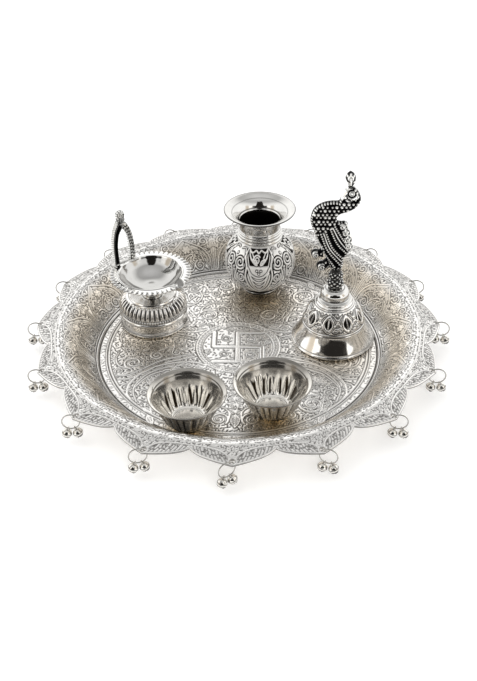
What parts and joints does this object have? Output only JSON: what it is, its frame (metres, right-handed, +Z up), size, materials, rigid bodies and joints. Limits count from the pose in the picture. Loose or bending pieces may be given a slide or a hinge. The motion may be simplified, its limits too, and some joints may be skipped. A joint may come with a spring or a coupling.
{
  "type": "puja thali",
  "caption": "Round silver-plated worship plate with a scalloped rim hung with small bells, holding a water pot, a peacock-handled hand bell, an oil lamp and fluted bowls.",
  "frame": {"origin": "centre of the plate's flat underside", "axes": "+Z up, -Y the front of the plate, +X to the viewer's right"},
  "size_m": [0.2958, 0.2888, 0.1313],
  "materials": {
    "plate_silver": "bright silver plate, embossed",
    "silver": "bright silver plate, polished",
    "oxidised_silver": "cast, oxidised dark with bright high points",
    "wire": "drawn wire, plated",
    "ghungroo": "bright silver plate"
  },
  "bodies": {
    "plate": {"thali_plate": "plate_silver"},
    "hanger_01": {"jump_ring_01": "wire", "ghungroo_pair_01": "ghungroo"},
    "hanger_02": {"jump_ring_02": "wire", "ghungroo_pair_02": "ghungroo"},
    "hanger_03": {"jump_ring_03": "wire", "ghungroo_pair_03": "ghungroo"},
    "hanger_04": {"jump_ring_04": "wire", "ghungroo_pair_04": "ghungroo"},
    "hanger_05": {"jump_ring_05": "wire", "ghungroo_pair_05": "ghungroo"},
    "hanger_06": {"jump_ring_06": "wire", "ghungroo_pair_06": "ghungroo"},
    "hanger_07": {"jump_ring_07": "wire", "ghungroo_pair_07": "ghungroo"},
    "hanger_08": {"jump_ring_08": "wire", "ghungroo_pair_08": "ghungroo"},
    "hanger_09": {"jump_ring_09": "wire", "ghungroo_pair_09": "ghungroo"},
    "hanger_10": {"jump_ring_10": "wire", "ghungroo_pair_10": "ghungroo"},
    "hanger_11": {"jump_ring_11": "wire", "ghungroo_pair_11": "ghungroo"},
    "hanger_12": {"jump_ring_12": "wire", "ghungroo_pair_12": "ghungroo"},
    "hanger_13": {"jump_ring_13": "wire", "ghungroo_pair_13": "ghungroo"},
    "hanger_14": {"jump_ring_14": "wire", "ghungroo_pair_14": "ghungroo"},
    "hanger_15": {"jump_ring_15": "wire", "ghungroo_pair_15": "ghungroo"},
    "hanger_16": {"jump_ring_16": "wire", "ghungroo_pair_16": "ghungroo"},
    "kalash": {"kalash_foot": "silver", "kalash_body": "silver", "kalash_neck": "silver"},
    "bell": {"bell_cup": "silver", "bell_collar": "silver", "bell_stem": "oxidised_silver", "bell_peacock": "oxidised_silver", "bell_eye": "silver"},
    "clapper": {"bell_clapper": "silver"},
    "diya": {"diya_base": "silver", "diya_stem": "silver", "diya_dish": "silver", "diya_handle": "oxidised_silver", "diya_rivets": "silver", "diya_finial": "oxidised_silver"},
    "bowl_left": {"bowl_left": "silver"},
    "bowl_right": {"bowl_right": "silver"}
  },
  "joints": [
    {"name": "hanger_01_swing", "type": "hinge", "parent": "plate", "child": "hanger_01", "pos_m": [-0.00327, -0.13919, 0.01674], "axis": [-0.5, 0.866, 0], "range_deg": [-25, 25]},
    {"name": "hanger_02_swing", "type": "hinge", "parent": "plate", "child": "hanger_02", "pos_m": [0.05618, -0.12786, 0.01674], "axis": [-0.2672, -0.9636, 0], "range_deg": [-25, 25]},
    {"name": "hanger_03_swing", "type": "hinge", "parent": "plate", "child": "hanger_03", "pos_m": [0.10085, -0.09742, 0.01674], "axis": [-0.0872, -0.9962, 0], "range_deg": [-25, 25]},
    {"name": "hanger_04_swing", "type": "hinge", "parent": "plate", "child": "hanger_04", "pos_m": [0.13062, -0.05271, 0.01674], "axis": [-0.0436, -0.999, 0], "range_deg": [-25, 25]},
    {"name": "hanger_05_swing", "type": "hinge", "parent": "plate", "child": "hanger_05", "pos_m": [0.14104, -0.00052, 0.01674], "axis": [-0.1392, -0.9903, 0], "range_deg": [-25, 25]},
    {"name": "hanger_06_swing", "type": "hinge", "parent": "plate", "child": "hanger_06", "pos_m": [0.13059, 0.05205, 0.01674], "axis": [-0.1305, -0.9914, 0], "range_deg": [-25, 25]},
    {"name": "hanger_07_swing", "type": "hinge", "parent": "plate", "child": "hanger_07", "pos_m": [0.10086, 0.09728, 0.01674], "axis": [0.0523, -0.9986, 0], "range_deg": [-25, 25]},
    {"name": "hanger_08_swing", "type": "hinge", "parent": "plate", "child": "hanger_08", "pos_m": [0.05623, 0.12767, 0.01674], "axis": [0.2164, -0.9763, 0], "range_deg": [-25, 25]},
    {"name": "hanger_09_swing", "type": "hinge", "parent": "plate", "child": "hanger_09", "pos_m": [-0.0032, 0.1393, 0.01674], "axis": [0.5299, 0.848, 0], "range_deg": [-25, 25]},
    {"name": "hanger_10_swing", "type": "hinge", "parent": "plate", "child": "hanger_10", "pos_m": [-0.05618, 0.12786, 0.01674], "axis": [0.2672, 0.9636, 0], "range_deg": [-25, 25]},
    {"name": "hanger_11_swing", "type": "hinge", "parent": "plate", "child": "hanger_11", "pos_m": [-0.10085, 0.09742, 0.01674], "axis": [0.0872, 0.9962, 0], "range_deg": [-25, 25]},
    {"name": "hanger_12_swing", "type": "hinge", "parent": "plate", "child": "hanger_12", "pos_m": [-0.13059, 0.05205, 0.01674], "axis": [-0.1305, 0.9914, 0], "range_deg": [-25, 25]},
    {"name": "hanger_13_swing", "type": "hinge", "parent": "plate", "child": "hanger_13", "pos_m": [-0.14105, -0.0004, 0.01674], "axis": [-0.1045, 0.9945, 0], "range_deg": [-25, 25]},
    {"name": "hanger_14_swing", "type": "hinge", "parent": "plate", "child": "hanger_14", "pos_m": [-0.13061, -0.05284, 0.01674], "axis": [-0.0785, 0.9969, 0], "range_deg": [-25, 25]},
    {"name": "hanger_15_swing", "type": "hinge", "parent": "plate", "child": "hanger_15", "pos_m": [-0.10085, -0.09742, 0.01674], "axis": [-0.0872, 0.9962, 0], "range_deg": [-25, 25]},
    {"name": "hanger_16_swing", "type": "hinge", "parent": "plate", "child": "hanger_16", "pos_m": [-0.05623, -0.12767, 0.01674], "axis": [-0.2164, 0.9763, 0], "range_deg": [-25, 25]},
    {"name": "kalash_lift", "type": "slide", "parent": "plate", "child": "kalash", "axis": [0, 0, 1], "range_m": [0, 0.12]},
    {"name": "bell_lift", "type": "slide", "parent": "plate", "child": "bell", "axis": [0, 0, 1], "range_m": [0, 0.15]},
    {"name": "diya_lift", "type": "slide", "parent": "plate", "child": "diya", "axis": [0, 0, 1], "range_m": [0, 0.12]},
    {"name": "bowl_left_lift", "type": "slide", "parent": "plate", "child": "bowl_left", "axis": [0, 0, 1], "range_m": [0, 0.08]},
    {"name": "bowl_right_lift", "type": "slide", "parent": "plate", "child": "bowl_right", "axis": [0, 0, 1], "range_m": [0, 0.08]},
    {"name": "clapper_swing", "type": "hinge", "parent": "bell", "child": "clapper", "pos_m": [0.0673, 0.011, 0.0232], "axis": [1, 0, 0], "range_deg": [-50, 50]}
  ]
}
